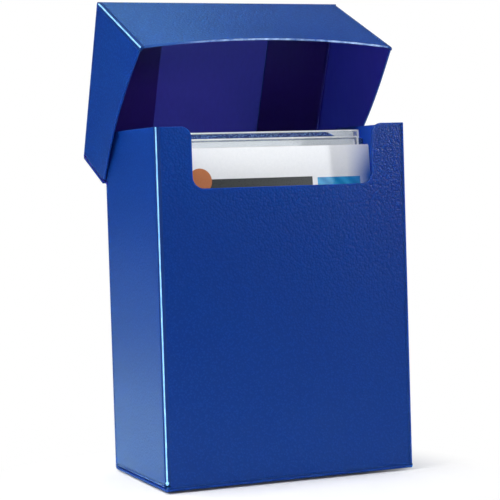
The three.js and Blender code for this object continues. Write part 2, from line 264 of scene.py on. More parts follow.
def coatedStock(name, look):
    finish, tree, coords = startFinish(name)
    fibre = addNode(tree, "ShaderNodeTexNoise", {
        "Vector": coords, "Scale": perMetre(look["fibreSize"]), "Detail": 4.0})
    colour = addNode(tree, "ShaderNodeMix", {
        0: fibre.outputs["Fac"], 6: srgb(look["fibre"]), 7: srgb(look["colour"])}, data_type="RGBA")
    rough = addNode(tree, "ShaderNodeMapRange", {
        "Value": fibre.outputs["Fac"], "From Min": noiseLow, "From Max": noiseHigh,
        "To Min": look["rough"][0], "To Max": look["rough"][1]})
    bump = addNode(tree, "ShaderNodeBump", {
        "Height": fibre.outputs["Fac"], "Strength": look["bump"], "Distance": look["depth"] * mm})
    endFinish(tree, {"Base Color": colour.outputs[2], "Roughness": rough.outputs["Result"],
                     "Normal": bump.outputs["Normal"]})
    return finish


def boardCore(name, look):
    finish, tree, coords = startFinish(name)
    fibre = addNode(tree, "ShaderNodeTexNoise", {
        "Vector": coords, "Scale": perMetre(look["fibreSize"]), "Detail": 4.0})
    colour = addNode(tree, "ShaderNodeMix", {
        0: fibre.outputs["Fac"], 6: srgb(look["fibre"]), 7: srgb(look["colour"])}, data_type="RGBA")
    bump = addNode(tree, "ShaderNodeBump", {
        "Height": fibre.outputs["Fac"], "Strength": look["bump"], "Distance": look["depth"] * mm})
    endFinish(tree, {"Base Color": colour.outputs[2], "Roughness": look["rough"],
                     "Normal": bump.outputs["Normal"]})
    return finish


def clearFilm(name, look):
    finish, tree, coords = startFinish(name)
    haze = addNode(tree, "ShaderNodeTexNoise", {
        "Vector": coords, "Scale": perMetre(look["haze"]), "Detail": 3.0})
    rough = addNode(tree, "ShaderNodeMapRange", {
        "Value": haze.outputs["Fac"], "From Min": noiseLow, "From Max": noiseHigh,
        "To Min": look["rough"][0], "To Max": look["rough"][1]})
    bump = addNode(tree, "ShaderNodeBump", {
        "Height": haze.outputs["Fac"], "Strength": look["bump"], "Distance": look["depth"] * mm})
    endFinish(tree, {"Base Color": srgb(look["colour"]), "Roughness": rough.outputs["Result"],
                     "IOR": polypropyleneIor, "Alpha": look["alpha"], "Normal": bump.outputs["Normal"]})
    return finish


outside = grainedPolypropylene("grained_polypropylene", outsideLook)
# the lid's outside, with the painted sparkle on its crests
lidOutsidePaintedSparkle = grainedPolypropylene("grained_lid_polypropylene", lidSparkleLook)
inside = smoothPolypropylene("smooth_polypropylene", insideLook)
# the body's inside: the clearer blue of the painted glow
paintedGlowInside = smoothPolypropylene("body_inside_painted_glow_polypropylene", bodyInsideGlowLook)
cutEdge = cutPolypropylene("cut_polypropylene", edgeLook)
paintedEdgeHighlight = cutPolypropylene("painted_highlight_edge_polypropylene", edgeHighlightLook)
# the crease's pale colour: stress whitening, and at the left corners partly a painted highlight
whitened = creasedPolypropylene("whitened_and_highlight_polypropylene", creaseWhiteAndHighlightLook)
# the painted shade beside the grooves and at the foot of the sides
paintedGrooveShade = creasedPolypropylene("painted_shade_polypropylene", grooveShadeLook)
dividerSheet = grainedPolypropylene("divider_polypropylene", dividerLook)
stock = coatedStock("coated_card_stock", stockLook)
core = boardCore("card_core_board", coreLook)
film = clearFilm("clear_sleeve_film", filmLook)
filmEdge = clearFilm("clear_sleeve_edge", filmEdgeLook)
sheetFinishes = {body: [without, within, cutEdge, whitened, paintedGrooveShade, paintedEdgeHighlight]
                 for body, without, within in (("box", outside, paintedGlowInside), ("lid", lidOutsidePaintedSparkle, inside))}
outerSide, innerSide, cutSide, whiteAndHighlightRidge, shadeBand, highlightRim = range(6)  # their places in a list
print("finishes made:", len(bpy.data.materials))

# Shared ways of shaping

sheetThick = 0.6  # millimetres
edgeRound = {"radius": 0.12, "segments": 3}  # millimetres, on every cut edge of the sheet
squarely = 0.95  # how nearly two directions have to agree
touching = 1e-7  # metres, where a cut meets a vertex


def vertsOf(geom):
    return [part for part in geom if isinstance(part, bmesh.types.BMVert)]


def runsAlong(edge, way):
    return abs((edge.verts[1].co - edge.verts[0].co).normalized().dot(way)) > squarely


def scaleAndMove(bm, low, high):  # a unit shape to the box between two corners
    size = high - low
    bmesh.ops.scale(bm, vec=size, verts=bm.verts)
    bmesh.ops.translate(bm, vec=(low + high) / 2, verts=bm.verts)


def softenEdges(bm, radius, segments, least=50):  # edges sharper than so many degrees
    bm.normal_update()
    sharp = [e for e in bm.edges
             if len(e.link_faces) == 2 and e.calc_face_angle(0) > math.radians(least)]
    bmesh.ops.bevel(bm, geom=sharp, offset=radius * mm, segments=segments, profile=0.5,
                    affect="EDGES", material=-1, clamp_overlap=True)


def faceOutwards(bm):
    bmesh.ops.recalc_face_normals(bm, faces=bm.faces)
    if bm.calc_volume(signed=True) < 0:
        bmesh.ops.reverse_faces(bm, faces=bm.faces)
    bm.normal_update()


def turnTowards(bm, faces, way):
    bm.normal_update()
    if sum((face.normal for face in faces), Vector()).dot(way) < 0:
        bmesh.ops.reverse_faces(bm, faces=faces)


def thickenOutline(bm, depth):  # a flat outline to a plate
    made = bmesh.ops.extrude_face_region(bm, geom=list(bm.faces))["geom"]
    bmesh.ops.translate(bm, vec=back * depth, verts=vertsOf(made))
    faceOutwards(bm)


def dressSheet(bm, outward):
    bm.normal_update()
    for face in bm.faces:
        facing = face.normal.dot(outward)
        inwards = innerSide if facing < -squarely else cutSide
        face.material_index = outerSide if facing > squarely else inwards


def finishPiece(name, bm, place, body, nodes, finishes, smoothUnder=40):
    bmesh.ops.transform(bm, matrix=place, verts=bm.verts)
    mesh = bpy.data.meshes.new(name)
    bm.to_mesh(mesh)
    bm.free()
    for finish in finishes:
        mesh.materials.append(finish)
    mesh.shade_smooth()
    mesh.set_sharp_from_angle(angle=math.radians(smoothUnder))
    piece = bpy.data.objects.new(name, mesh)
    scene.collection.objects.link(piece)
    shading = piece.modifiers.new("flat faces stay flat", "WEIGHTED_NORMAL")
    shading.keep_sharp = True
    if body:
        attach(piece, body)
    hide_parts(*nodes)
    return piece


# Flat panels, flaps and tabs

panelSizes = {"cornerRadius": 2.4, "cornerSteps": 6, "hingeLand": 1.0}


def cutSheet(node, place, body, outward, roundEnd=None, low=None, high=None):
    boxLow, boxHigh = nodeBox(node, place)
    low, high = low or boxLow, high or boxHigh
    bm = bmesh.new()
    bmesh.ops.create_cube(bm, size=1)
    scaleAndMove(bm, low, high)
    if roundEnd:  # the corners of a free end
        middle = (low + high) / 2
        corners = [e for e in bm.edges if runsAlong(e, outward)
                   and ((e.verts[0].co + e.verts[1].co) / 2 - middle).dot(roundEnd) > 0]
        bmesh.ops.bevel(bm, geom=corners, offset=panelSizes["cornerRadius"] * mm, affect="EDGES",
                        segments=panelSizes["cornerSteps"], profile=0.5, material=-1)
    softenEdges(bm, **edgeRound)
    dressSheet(bm, outward)
    finishPiece(node + "_sheet", bm, place, body, [node], sheetFinishes[body])


def withZ(corner, z):
    return Vector((corner.x, corner.y, z))


land = panelSizes["hingeLand"] * mm
cutSheet("body_bottom_panel", standing, "box", down)
lowBack, highBack = nodeBox("body_back_panel", standing)
cutSheet("body_back_panel", standing, "box", back, high=withZ(highBack, hingeLine.z - land))
cutSheet("lid_top_panel", opened, "lid", up)
lowBack, highBack = nodeBox("lid_back_panel", opened)
cutSheet("lid_back_panel", opened, "lid", back, low=withZ(lowBack, land))
for side, outward in (("left", left), ("right", right)):
    cutSheet(f"body_{side}_panel", standing, "box", outward)
    cutSheet(f"body_{side}_bottom_flap", standing, "box", down, roundEnd=-outward)
    cutSheet(f"body_{side}_back_tab", standing, "box", back, roundEnd=-outward)
    cutSheet(f"lid_{side}_top_flap", opened, "lid", up, roundEnd=-outward)
    cutSheet(f"lid_{side}_back_tab", opened, "lid", back, roundEnd=-outward)
print("flat panels, flaps and tabs made")

# The front panel, with a thumb cutout in its upper edge

thumbCutout = {"width": 52.2, "depth": 16.3, "rimRadius": 3.0, "floorRadius": 3.2, "steps": 10}


def roundCorners(bm, places, radius, steps):
    verts = [min(bm.verts, key=lambda v: (v.co - place).length) for place in places]
    bmesh.ops.bevel(bm, geom=verts, offset=radius * mm, segments=steps, profile=0.5,
                    affect="VERTICES", material=-1)


def frontPanel(node, look):
    low, high = nodeBox(node, standing)
    cut = look["width"] / 2 * mm
    floor = high.z - look["depth"] * mm
    outline = [(low.x, low.z), (high.x, low.z), (high.x, high.z), (cut, high.z), (cut, floor),
               (-cut, floor), (-cut, high.z), (low.x, high.z)]
    bm = bmesh.new()
    bm.faces.new([bm.verts.new((x, low.y, z)) for x, z in outline])
    rim = [Vector((x, low.y, high.z)) for x in (cut, -cut)]
    corners = [Vector((x, low.y, floor)) for x in (cut, -cut)]
    roundCorners(bm, rim, look["rimRadius"], look["steps"])
    roundCorners(bm, corners, look["floorRadius"], look["steps"])
    thickenOutline(bm, high.y - low.y)
    softenEdges(bm, **edgeRound)
    dressSheet(bm, front)
    finishPiece(node + "_sheet", bm, standing, "box", [node], sheetFinishes["box"])


frontPanel("body_front_panel", thumbCutout)
print("front panel made")

# The lid's front and sides: their free edges bow outwards between the folded corners

lidBow = {"front": 2.3, "side": 1.2, "across": 28, "rows": 14, "endFacing": 0.85,
          "mouthRise": 19.6 / 47.242}  # the sides' mouth slants: its rise over its length


def bowedSheet(node, outward, shape, rim):  # rim: the finish of its free edge
    bm = bmesh.new()
    bmesh.ops.create_grid(bm, x_segments=lidBow["across"], y_segments=lidBow["rows"], size=0.5)
    for vertex in bm.verts:
        vertex.co = shape(vertex.co.x + 0.5, vertex.co.y + 0.5)
    turnTowards(bm, bm.faces, outward)
    bmesh.ops.solidify(bm, geom=bm.faces, thickness=sheetThick * mm)
    faceOutwards(bm)
    softenEdges(bm, **edgeRound)
    dressSheet(bm, outward)
    for face in bm.faces:
        if face.material_index == cutSide and face.normal.z < -lidBow["endFacing"]:
            face.material_index = rim
    finishPiece(node + "_sheet", bm, opened, "lid", [node], sheetFinishes["lid"])


lidFrontLow, lidFrontHigh = nodeBox("lid_front_panel", opened)
lidFrontFace = nodeBox("lid_front_left_fold", opened)[0].y


def lidFrontShape(across, rise):
    x = lidFrontLow.x + across * (lidFrontHigh.x - lidFrontLow.x)
    z = lidFrontLow.z + rise * (lidFrontHigh.z - lidFrontLow.z)
    bow = lidBow["front"] * mm * (1 - (2 * across - 1) ** 2) * (1 - rise) ** 2
    return Vector((x, lidFrontFace - bow, z))


def lidSideShape(node, outward):
    low, high = nodeBox(node, opened)
    face = nodeBox(node.replace("_panel", "_flap_fold"), opened)
    x = face[1].x if outward.x > 0 else face[0].x

    def shape(along, rise):
        y = low.y + along * (high.y - low.y)
        mouth = y * lidBow["mouthRise"]
        z = mouth + rise * (high.z - mouth)
        bow = lidBow["side"] * mm * math.sin(math.pi * along) * (1 - rise) ** 2
        return Vector((x + outward.x * bow, y, z))

    return shape


# the lid's front edge gets the painted highlight
bowedSheet("lid_front_panel", front, lidFrontShape, highlightRim)
for side, outward, rim in (("left", left, outerSide), ("right", right, cutSide)):
    node = f"lid_{side}_panel"
    bowedSheet(node, outward, lidSideShape(node, outward), rim)
print("bowed lid panels made")

# Creases: a quarter turn of the sheet with a pressed groove at each side.
# At the left corners the ridge between the grooves is whitened, partly stress whitening and partly a
# painted highlight, and where the body's ends near the floor the plastic is pushed up into a small bead.

crease = {"radius": 1.2, "steps": 18, "lip": 0.05, "still": 0.01,
          "groove": 0.10, "grooveAt": 0.11, "grooveWidth": 0.055, "shadeBeside": 1.3,
          "ridge": (0.38, 0.62), "innerFacing": -0.5, "edgeFacing": 0.3,
          "bead": 0.56, "beadUp": 0.62, "beadOut": 0.91, "beadRows": 13, "beadStep": 0.1,
          "wedge": 1.05, "reach": 0.9}


def foldSheet(node, place, body, first, second, whitenAndHighlight=False, bead=False, wedge=False, reach=0):
    low, high = nodeBox(node, place)
    low.z -= reach * mm
    along = first.cross(second)
    outer = first + second
    centre = Vector([low[i] if outer[i] > 0 else high[i] for i in range(3)])
    ends = [centre + along * ((corner - centre).dot(along)) for corner in (low, high)]
    radius = crease["radius"] * mm
    bm = bmesh.new()
    edge = bm.edges.new([bm.verts.new(end + first * radius) for end in ends])
    made = bmesh.ops.spin(bm, geom=[edge, *edge.verts], cent=centre, axis=along, dvec=(0, 0, 0),
                          angle=math.pi / 2, steps=crease["steps"], use_merge=False, use_duplicate=False)
    lastEdge = next(e for e in made["geom_last"] if isinstance(e, bmesh.types.BMEdge))
    firstEdge = min(bm.edges, key=lambda e: sum((v.co - centre).dot(second) ** 2 for v in e.verts))
    for rim, way in ((firstEdge, -second), (lastEdge, -first)):  # lips that close the seam
        lip = bmesh.ops.extrude_edge_only(bm, edges=[rim])["geom"]
        bmesh.ops.translate(bm, vec=way * crease["lip"] * mm, verts=vertsOf(lip))
    foot = min(end.z for end in ends)
    if bead:
        for row in range(1, crease["beadRows"] + 1):
            bmesh.ops.bisect_plane(bm, geom=[*bm.verts, *bm.edges, *bm.faces], dist=touching,
                                   plane_co=(0, 0, foot + row * crease["beadStep"] * mm), plane_no=up)
    slope = Vector((0, -crease["wedge"] * mm, high.y - low.y))  # rises towards the back
    # below this slope the fold gets the painted shade
    if wedge:
        bmesh.ops.bisect_plane(bm, geom=[*bm.verts, *bm.edges, *bm.faces], dist=touching,
                               plane_co=low, plane_no=slope)

    def turnOf(point):  # 0 at the first panel, 1 at the second
        arm = point - centre
        arm -= along * arm.dot(along)
        return math.atan2(arm.dot(second), arm.dot(first)) / (math.pi / 2), arm.normalized()

    def beadRise(point, turn):  # how far the round bead stands out of the crease
        angle = (turn - 0.5) * math.pi / 2
        upwards = (point.z - foot) / mm - crease["beadUp"]
        inside = crease["bead"] ** 2 - upwards ** 2 - (crease["beadOut"] * math.sin(angle)) ** 2
        if not bead or inside < 0:
            return 0
        return max(0, crease["beadOut"] * math.cos(angle) + math.sqrt(inside) - crease["radius"])

    for vertex in bm.verts:
        turn, arm = turnOf(vertex.co)
        if not crease["still"] < turn < 1 - crease["still"]:  # the ends meet the panels
            continue
        gap = (min(turn, 1 - turn) - crease["grooveAt"]) / crease["grooveWidth"]
        rise = -crease["groove"] * math.exp(-gap * gap)
        vertex.co += arm * (beadRise(vertex.co, turn) or rise) * mm
    turnTowards(bm, bm.faces, outer)
    bmesh.ops.solidify(bm, geom=bm.faces, thickness=sheetThick * mm)
    faceOutwards(bm)
    for face in bm.faces:
        point = face.calc_center_median()
        turn, arm = turnOf(point)
        facing = face.normal.dot(arm)
        fromGroove = abs(min(turn, 1 - turn) - crease["grooveAt"])
        ridge = crease["ridge"][0] < turn < crease["ridge"][1] or beadRise(point, turn) > 0
        if facing < crease["innerFacing"]:
            face.material_index = innerSide
        elif facing < crease["edgeFacing"]:
            face.material_index = cutSide
        elif whitenAndHighlight:
            face.material_index = whiteAndHighlightRidge if ridge else shadeBand
        elif wedge:
            face.material_index = shadeBand if (point - low).dot(slope) < 0 else outerSide
        else:
            # the bands beside the grooves get the painted shade
            shadeBeside = fromGroove < crease["shadeBeside"] * crease["grooveWidth"]
            face.material_index = shadeBand if shadeBeside else outerSide
    finishPiece(node + "_crease", bm, place, body, [node], sheetFinishes[body])


foldSheet("body_bottom_front_fold", standing, "box", front, down)
foldSheet("body_bottom_back_fold", standing, "box", back, down)
foldSheet("lid_top_front_fold", opened, "lid", front, up)
foldSheet("lid_top_back_fold", opened, "lid", back, up)
for side, outward in (("left", left), ("right", right)):
    leftCorner = side == "left"  # the left corners get the whitened ridge, partly a painted highlight where the light catches it, and the bead
    reach = 0 if leftCorner else crease["reach"]
    foldSheet(f"body_front_{side}_fold", standing, "box", front, outward,
              whitenAndHighlight=leftCorner, bead=leftCorner, reach=reach)
    foldSheet(f"body_{side}_flap_fold", standing, "box", outward, down, wedge=True)
    foldSheet(f"body_{side}_tab_fold", standing, "box", outward, back)
    foldSheet(f"lid_front_{side}_fold", opened, "lid", front, outward, whitenAndHighlight=leftCorner)
    foldSheet(f"lid_{side}_flap_fold", opened, "lid", outward, up)
    foldSheet(f"lid_{side}_tab_fold", opened, "lid", outward, back)
print("creases made")

# The living hinge: the sheet thins to a web that bends between the body's back and the lid's back

hingeWeb = {"web": 0.26, "taper": 1.5, "bend": 0.6, "cuts": 23, "whitened": 0.45}


def livingHinge(node, look):
    half, reach = sheetThick / 2 * mm, land
    bm = bmesh.new()
    bmesh.ops.create_cube(bm, size=1)
    scaleAndMove(bm, Vector((hingeLow.x, -half, -reach)), Vector((hingeHigh.x, half, reach)))
    runs = [e for e in bm.edges if runsAlong(e, up)]
    bmesh.ops.subdivide_edges(bm, edges=runs, cuts=look["cuts"], use_grid_fill=True)
    dressSheet(bm, back)
    for face in bm.faces:
        stretched = abs(face.calc_center_median().z) < look["whitened"] * reach
        if face.material_index == outerSide and stretched:
            face.material_index = whiteAndHighlightRidge
    bend = look["bend"] * mm
    turnRadius = bend / math.tan(openAngle / 2)
    for vertex in bm.verts:
        run = vertex.co.z
        share = min(1, abs(run) / reach)
        thin = look["web"] + (sheetThick - look["web"]) * share ** look["taper"]
        offset = vertex.co.y * thin / sheetThick
        turn = openAngle * min(1, max(0, (run + bend) / (2 * bend)))
        middle = Vector((0, 0, -bend))  # the straight run, then the arc, then the straight run on
        middle += Vector((0, turnRadius * (1 - math.cos(turn)), turnRadius * math.sin(turn)))
        rest = run + bend if run < -bend else run - bend if run > bend else 0
        ahead = Vector((0, math.sin(turn), math.cos(turn)))
        middle += ahead * rest
        outwards = Vector((0, math.cos(turn), -math.sin(turn)))
        vertex.co = hingeLine + middle + outwards * offset + right * vertex.co.x
    faceOutwards(bm)
    piece = finishPiece(node + "_strip", bm, standing, None, [node], sheetFinishes["lid"])
    ahead = Vector((0, math.sin(openAngle), math.cos(openAngle)))
    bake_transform(piece)


livingHinge("lid_hinge_web", hingeWeb)
print("living hinge made")

# Cards

cardCut = {"corner": 0.35, "cornerSteps": 3, "edge": 0.05, "edgeSteps": 1}


def cardShape(low, high):
    bm = bmesh.new()
    bmesh.ops.create_cube(bm, size=1)
    scaleAndMove(bm, low, high)
    corners = [e for e in bm.edges if runsAlong(e, back)]
    bmesh.ops.bevel(bm, geom=corners, offset=cardCut["corner"] * mm, segments=cardCut["cornerSteps"],
                    profile=0.5, affect="EDGES", material=-1)
    softenEdges(bm, cardCut["edge"], cardCut["edgeSteps"])
    dressSheet(bm, front)
    return bm


# A printed card: glossy ink on coated white board. A dark picture of soft tones, a striped block and a
# bar, a disc, and on the front card a painted blue shade at the right edge, where the card stands in the
# shade of the box's blue wall. Sizes in millimetres on the card, the mist's scale per millimetre.
frontPrint = {"window": "1d2326", "windowLow": "5d655c", "block": "1187c4", "blockStripe": "3aa6da",
              "disc": "c2703c", "rightShade": "2b62b6"}
secondPrint = {"window": "37424d", "windowLow": "7a8896", "block": "b83a2e", "blockStripe": "d0584a",
               "disc": "d9a441"}
rearPrint = {"window": "2f3d33", "windowLow": "6f8a74", "block": "2f6f4a", "blockStripe": "46905f",
             "disc": "d4d7da"}
printLayout = {"window": (-6.5, 45.0, 20.5, 35.0), "block": (22.0, 69.5, 6.5, 10.2),  # centre, half size
               "bar": (0.0, 6.4, 27.0, 2.4), "discAt": (-19.0, 79.6), "discRadius": 3.4, "stripe": 3.2,
               "mist": 0.07, "fade": (80.0, 15.0), "rightShade": (24.6, 31.2), "rightShadeDown": (90.0, 80.0),
               "rightShadeLeast": 0.2, "dot": 0.32, "dotReach": 0.7, "rough": (0.24, 0.34), "bump": 0.25}


def printedCard(name, low, high, inks):
    finish, tree, coords = startFinish(name)
    middle = Vector(((low.x + high.x) / 2, 0, low.z))
    onCard = addNode(tree, "ShaderNodeMapping", {
        "Vector": coords, "Location": -middle / mm, "Scale": (1 / mm, 0, 1 / mm)}).outputs["Vector"]

    def blockMask(centreX, centreZ, halfX, halfZ):
        offset = addNode(tree, "ShaderNodeVectorMath", {
            0: onCard, 1: (centreX, 0, centreZ)}, operation="SUBTRACT")
        size = addNode(tree, "ShaderNodeVectorMath", {0: offset.outputs[0]}, operation="ABSOLUTE")
        past = addNode(tree, "ShaderNodeVectorMath", {
            0: size.outputs[0], 1: (halfX, 0, halfZ)}, operation="SUBTRACT")
        parts = addNode(tree, "ShaderNodeSeparateXYZ", {0: past.outputs[0]})
        worst = addNode(tree, "ShaderNodeMath", {
            0: parts.outputs["X"], 1: parts.outputs["Z"]}, operation="MAXIMUM")
        within = addNode(tree, "ShaderNodeMath", {0: worst.outputs[0], 1: 0.0}, operation="LESS_THAN")
        return within.outputs[0]

    paper = addNode(tree, "ShaderNodeTexNoise", {
        "Vector": coords, "Scale": perMetre(stockLook["fibreSize"])})
    colour = addNode(tree, "ShaderNodeMix", {
        0: paper.outputs["Fac"],
        6: srgb(stockLook["fibre"]), 7: srgb(stockLook["colour"])}, data_type="RGBA")
    # The picture: soft bands of two tones
    spot = addNode(tree, "ShaderNodeSeparateXYZ", {0: onCard})
    mist = addNode(tree, "ShaderNodeTexNoise", {
        "Vector": onCard, "Scale": printLayout["mist"], "Detail": 2.0})
    fade = addNode(tree, "ShaderNodeMapRange", {
        "Value": spot.outputs["Z"],
        "From Min": printLayout["fade"][0], "From Max": printLayout["fade"][1]})
    tone = addNode(tree, "ShaderNodeMath", {
        0: fade.outputs["Result"], 1: mist.outputs["Fac"]}, operation="MULTIPLY")
    picture = addNode(tree, "ShaderNodeMix", {
        0: tone.outputs[0], 6: srgb(inks["window"]), 7: srgb(inks["windowLow"])}, data_type="RGBA")
    stripes = addNode(tree, "ShaderNodeTexWave", {
        "Vector": onCard, "Scale": 1 / (2 * printLayout["stripe"])}, bands_direction="DIAGONAL")
    block = addNode(tree, "ShaderNodeMix", {
        0: stripes.outputs["Fac"],
        6: srgb(inks["block"]), 7: srgb(inks["blockStripe"])}, data_type="RGBA")
    for shape, ink in (("window", picture), ("block", block), ("bar", block)):
        colour = addNode(tree, "ShaderNodeMix", {
            0: blockMask(*printLayout[shape]), 6: colour.outputs[2], 7: ink.outputs[2]}, data_type="RGBA")
    discX, discZ = printLayout["discAt"]
    reach = addNode(tree, "ShaderNodeVectorMath", {
        0: onCard, 1: (discX, 0, discZ)}, operation="DISTANCE")
    disc = addNode(tree, "ShaderNodeMath", {
        0: reach.outputs["Value"], 1: printLayout["discRadius"]}, operation="LESS_THAN")
    colour = addNode(tree, "ShaderNodeMix", {
        0: disc.outputs[0], 6: colour.outputs[2], 7: srgb(inks["disc"])}, data_type="RGBA")
    if "rightShade" in inks:  # a painted blue shade that deepens towards the right edge and downwards
        across = addNode(tree, "ShaderNodeMapRange", {
            "Value": spot.outputs["X"],
            "From Min": printLayout["rightShade"][0], "From Max": printLayout["rightShade"][1]})
        lower = addNode(tree, "ShaderNodeMapRange", {
            "Value": spot.outputs["Z"], "From Min": printLayout["rightShadeDown"][0],
            "From Max": printLayout["rightShadeDown"][1], "To Min": printLayout["rightShadeLeast"]})
        tint = addNode(tree, "ShaderNodeMath", {
            0: across.outputs["Result"], 1: lower.outputs["Result"]}, operation="MULTIPLY")
        colour = addNode(tree, "ShaderNodeMix", {
            0: tint.outputs[0], 6: colour.outputs[2], 7: srgb(inks["rightShade"])}, data_type="RGBA")
    # Fine ink screen, too fine to show far off, that breaks the gloss a little
    screen = addNode(tree, "ShaderNodeTexVoronoi", {
        "Vector": coords, "Scale": perMetre(printLayout["dot"])})
    rough = addNode(tree, "ShaderNodeMapRange", {
        "Value": screen.outputs["Distance"], "From Max": printLayout["dotReach"],
        "To Min": printLayout["rough"][0], "To Max": printLayout["rough"][1]})
    bump = addNode(tree, "ShaderNodeBump", {
        "Height": paper.outputs["Fac"], "Strength": printLayout["bump"],
        "Distance": stockLook["depth"] * mm})
    endFinish(tree, {"Base Color": colour.outputs[2], "Roughness": rough.outputs["Result"],
                     "Normal": bump.outputs["Normal"]})
    return finish


def singleCard(node, body, inks):
    low, high = nodeBox(node, leaning)
    face = printedCard(node + "_print", low, high, inks)
    finishPiece(node + "_leaf", cardShape(low, high), leaning, body, [node], [face, stock, core])


singleCard("front_card", "front_card", frontPrint)
singleCard("second_card", "second_sleeved_card", secondPrint)
singleCard("rear_card", "rear_sleeved_card", rearPrint)
print("single cards made")

# The decks: cards side by side, each a little out of line with the next

deckStack = {"pitch": 0.38, "gap": 0.03, "sideways": 0.28, "lift": 0.22, "seed": 11}


def cardDeck(node, draws):
    low, high = nodeBox(node, leaning)
    count = round((high.y - low.y) / (deckStack["pitch"] * mm))
    pitch = (high.y - low.y) / count
    bm = cardShape(low, Vector((high.x, low.y + pitch - deckStack["gap"] * mm,
                                high.z - deckStack["lift"] * mm)))
    first = [*bm.verts, *bm.edges, *bm.faces]
    for step in range(1, count):
        made = bmesh.ops.duplicate(bm, geom=first)["geom"]
        shift = (draws.uniform(-1, 1) * deckStack["sideways"] * mm, step * pitch,
                 draws.uniform(0, 1) ** 2 * deckStack["lift"] * mm)  # most stand low
        bmesh.ops.translate(bm, vec=shift, verts=vertsOf(made))
    finishPiece(node + "_cards", bm, leaning, node, [node], [stock, stock, core])
    return count


draws = random.Random(deckStack["seed"])
for node in ("front_deck", "rear_deck"):
    print(node, "made of", cardDeck(node, draws), "cards")

# Clear sleeves: two films welded round three sides, open at the top

sleeveFilm = {"thick": 0.12, "gap": 0.004, "weld": 0.9, "swell": 1.6, "across": 36, "rows": 40,
              "lipWave": 0.03, "waves": 1.5, "waveRise": 6, "lip": 0.4, "edge": 0.35, "facing": 0.5}


def clearSleeve(node, body):
    low, high = nodeBox(node, leaning)
    thick = sleeveFilm["thick"] * mm
    middle = (low.y + high.y) / 2
    centre, half = (low.x + high.x) / 2, (high.x - low.x) / 2
    bm = bmesh.new()
    for outward, face in ((front, low.y), (back, high.y)):
        made = bmesh.ops.create_grid(bm, x_segments=sleeveFilm["across"], y_segments=sleeveFilm["rows"],
                                     size=1)["verts"]
        for vertex in made:
            across = math.sin(vertex.co.x * math.pi / 2)  # closer rows along the welds
            rise = 1 - math.cos((vertex.co.y + 1) / 2 * math.pi / 2)
            x = centre + across * half
            z = low.z + rise * (high.z - low.z)
            inset = min(half - abs(across) * half, z - low.z) / mm
            apart = min(1, max(0, (inset - sleeveFilm["weld"]) / sleeveFilm["swell"]))
            apart = apart * apart * (3 - 2 * apart)
            shut = middle + outward.y * (thick + sleeveFilm["gap"] * mm)
            y = shut + (face - shut) * apart
            ripple = math.sin(across * sleeveFilm["waves"] * math.pi) * rise ** sleeveFilm["waveRise"]
            wave = sleeveFilm["lipWave"] * mm * ripple * apart
            vertex.co = Vector((x, y + outward.y * abs(wave), z))
        faces = list(dict.fromkeys(part for vertex in made for part in vertex.link_faces))
        turnTowards(bm, faces, outward)
        bmesh.ops.solidify(bm, geom=faces, thickness=thick)
    faceOutwards(bm)
    lip = high.z - sleeveFilm["lip"] * mm
    bmesh.ops.bisect_plane(bm, geom=[*bm.verts, *bm.edges, *bm.faces], dist=touching,
                           plane_co=(0, 0, lip), plane_no=up)
    for face in bm.faces:  # 1 the lip and the welds, 0 the rest
        point = face.calc_center_median()
        inset = half - abs(point.x - centre)
        flat = abs(face.normal.y) > sleeveFilm["facing"]
        face.material_index = 0 if flat and point.z < lip and inset > sleeveFilm["edge"] * mm else 1
    finishPiece(node + "_film", bm, leaning, body, [node], [film, filmEdge])


clearSleeve("second_sleeve", "second_sleeved_card")
clearSleeve("rear_sleeve", "rear_sleeved_card")
print("clear sleeves made")

# The divider: a sheet as wide as a sleeve, with a tab whose ends slant

dividerTab = {"drop": 0.15, "height": 1.9, "width": 44.0, "slant": 3.6, "corner": 0.6, "cornerSteps": 5,
              "edge": 0.08, "edgeSteps": 3}


def divider(node, look):
    low, high = nodeBox(node, leaning)
    top = high.z - look["drop"] * mm
    shoulder = high.z - look["height"] * mm
    tab = look["width"] / 2 * mm
    slant = tab + look["slant"] * mm
    middle = (low.x + high.x) / 2
    outline = [(low.x, low.z), (high.x, low.z), (high.x, shoulder), (middle + slant, shoulder),
               (middle + tab, top), (middle - tab, top), (middle - slant, shoulder), (low.x, shoulder)]
    bm = bmesh.new()
    verts = [bm.verts.new((x, low.y, z)) for x, z in outline]
    bm.faces.new(verts)
    bmesh.ops.bevel(bm, geom=verts, offset=look["corner"] * mm, segments=look["cornerSteps"],
                    profile=0.5, affect="VERTICES", material=-1)
    thickenOutline(bm, high.y - low.y)
    softenEdges(bm, look["edge"], look["edgeSteps"])
    dressSheet(bm, front)
    finishes = [dividerSheet, dividerSheet, cutEdge]
    finishPiece(node + "_sheet", bm, leaning, "divider", [node], finishes)


divider("card_divider", dividerTab)
print("divider made")

# Studio: a pale floor, soft lamps and a plain grey surround, in metres and watts.
# The camera sees floor and surround white beyond the shadow at the foot of the box. Glossy sheet
# mirrors them in a cool tint, the surround dim at the horizon and brighter overhead.

